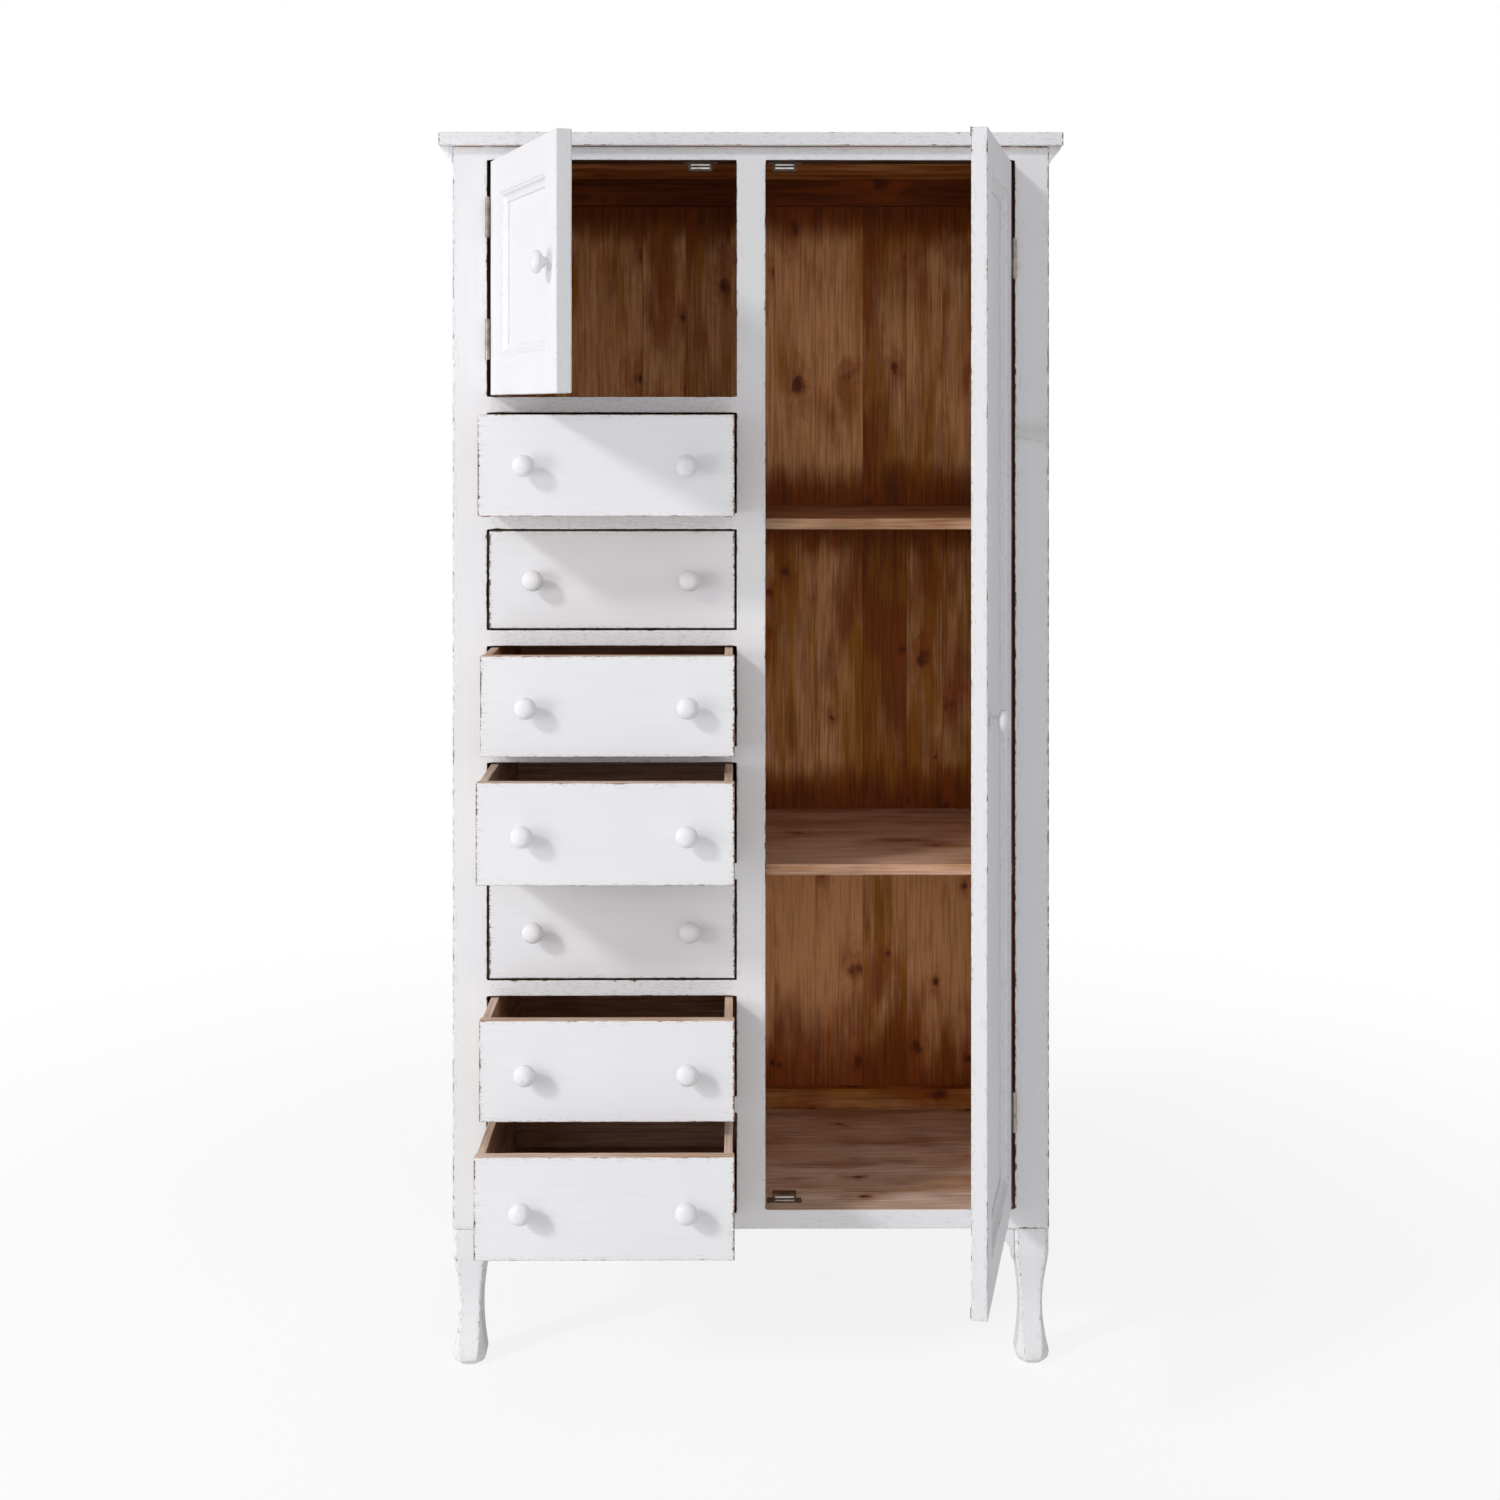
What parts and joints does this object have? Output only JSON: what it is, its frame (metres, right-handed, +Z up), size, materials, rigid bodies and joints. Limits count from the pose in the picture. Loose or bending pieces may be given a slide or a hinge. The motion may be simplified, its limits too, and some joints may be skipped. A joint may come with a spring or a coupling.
{
  "type": "bonnetiere cabinet",
  "caption": "Free-standing painted cabinet on shaped feet: a column of drawers under a small panelled door, beside a tall panelled door over a shelved bay.",
  "frame": {"origin": "on the floor, under the middle of the carcass's width and depth", "axes": "+Z up, +Y towards the back, +X to the right seen from the front"},
  "size_m": [0.94, 0.8156, 1.854],
  "materials": {
    "painted_wood": "matt white brushed paint, rubbed through to the wood along the edges",
    "stained_pine": "red-brown stained knotty pine, satin",
    "drawer_pine": "bare pinkish pine, matt",
    "nickel": "dull nickel plate",
    "catch_case": "dark brown enamel"
  },
  "bodies": {
    "carcass": {"top_board": "painted_wood", "crown_mouldings": "painted_wood", "front_post_left": "painted_wood", "front_post_right": "painted_wood", "back_posts": "painted_wood", "centre_stile": "painted_wood", "top_rail": "painted_wood", "drawer_rails": "painted_wood", "bay_sill": "painted_wood", "side_rails": "painted_wood", "side_panels": "painted_wood", "back_rails": "stained_pine", "back_boards": "stained_pine", "partition": "stained_pine", "bay_floor": "stained_pine", "cupboard_floor": "stained_pine", "upper_shelf": "stained_pine", "lower_shelf": "stained_pine", "shelf_cleats": "stained_pine", "drawer_runners": "stained_pine", "feet": "painted_wood", "knee_brackets": "painted_wood", "catch_cases": "catch_case", "catch_poles": "nickel", "frame_hinges": "nickel"},
    "small_door": {"small_door_stiles": "painted_wood", "small_door_rails": "painted_wood", "small_door_panel": "painted_wood", "small_door_mouldings": "painted_wood", "small_door_knob": "painted_wood", "small_door_hinges": "nickel", "small_door_strikes": "nickel"},
    "tall_door": {"tall_door_stiles": "painted_wood", "tall_door_rails": "painted_wood", "tall_door_panel": "painted_wood", "tall_door_mouldings": "painted_wood", "tall_door_knob": "painted_wood", "tall_door_hinges": "nickel", "tall_door_strikes": "nickel"},
    "drawer_1": {"drawer_1_front": "painted_wood", "drawer_1_box": "drawer_pine", "drawer_1_knobs": "painted_wood"},
    "drawer_2": {"drawer_2_front": "painted_wood", "drawer_2_box": "drawer_pine", "drawer_2_knobs": "painted_wood"},
    "drawer_3": {"drawer_3_front": "painted_wood", "drawer_3_box": "drawer_pine", "drawer_3_knobs": "painted_wood"},
    "drawer_4": {"drawer_4_front": "painted_wood", "drawer_4_box": "drawer_pine", "drawer_4_knobs": "painted_wood"},
    "drawer_5": {"drawer_5_front": "painted_wood", "drawer_5_box": "drawer_pine", "drawer_5_knobs": "painted_wood"},
    "drawer_6": {"drawer_6_front": "painted_wood", "drawer_6_box": "drawer_pine", "drawer_6_knobs": "painted_wood"},
    "drawer_7": {"drawer_7_front": "painted_wood", "drawer_7_box": "drawer_pine", "drawer_7_knobs": "painted_wood"}
  },
  "joints": [
    {"name": "small_door_hinge", "type": "hinge", "parent": "carcass", "child": "small_door", "pos_m": [-0.3967, -0.229, 1.6345], "axis": [0, 0, -1], "range_deg": [-69.2, 95.8]},
    {"name": "tall_door_hinge", "type": "hinge", "parent": "carcass", "child": "tall_door", "pos_m": [0.3967, -0.229, 1.021], "axis": [0, 0, 1], "range_deg": [-77.2, 87.8]},
    {"name": "drawer_1_slide", "type": "slide", "parent": "carcass", "child": "drawer_1", "axis": [0, -1, 0], "range_m": [-0.127, 0.173]},
    {"name": "drawer_2_slide", "type": "slide", "parent": "carcass", "child": "drawer_2", "axis": [0, -1, 0], "range_m": [0, 0.3]},
    {"name": "drawer_3_slide", "type": "slide", "parent": "carcass", "child": "drawer_3", "axis": [0, -1, 0], "range_m": [-0.101, 0.199]},
    {"name": "drawer_4_slide", "type": "slide", "parent": "carcass", "child": "drawer_4", "axis": [0, -1, 0], "range_m": [-0.147, 0.153]},
    {"name": "drawer_5_slide", "type": "slide", "parent": "carcass", "child": "drawer_5", "axis": [0, -1, 0], "range_m": [0, 0.3]},
    {"name": "drawer_6_slide", "type": "slide", "parent": "carcass", "child": "drawer_6", "axis": [0, -1, 0], "range_m": [-0.111, 0.189]},
    {"name": "drawer_7_slide", "type": "slide", "parent": "carcass", "child": "drawer_7", "axis": [0, -1, 0], "range_m": [-0.168, 0.132]}
  ]
}
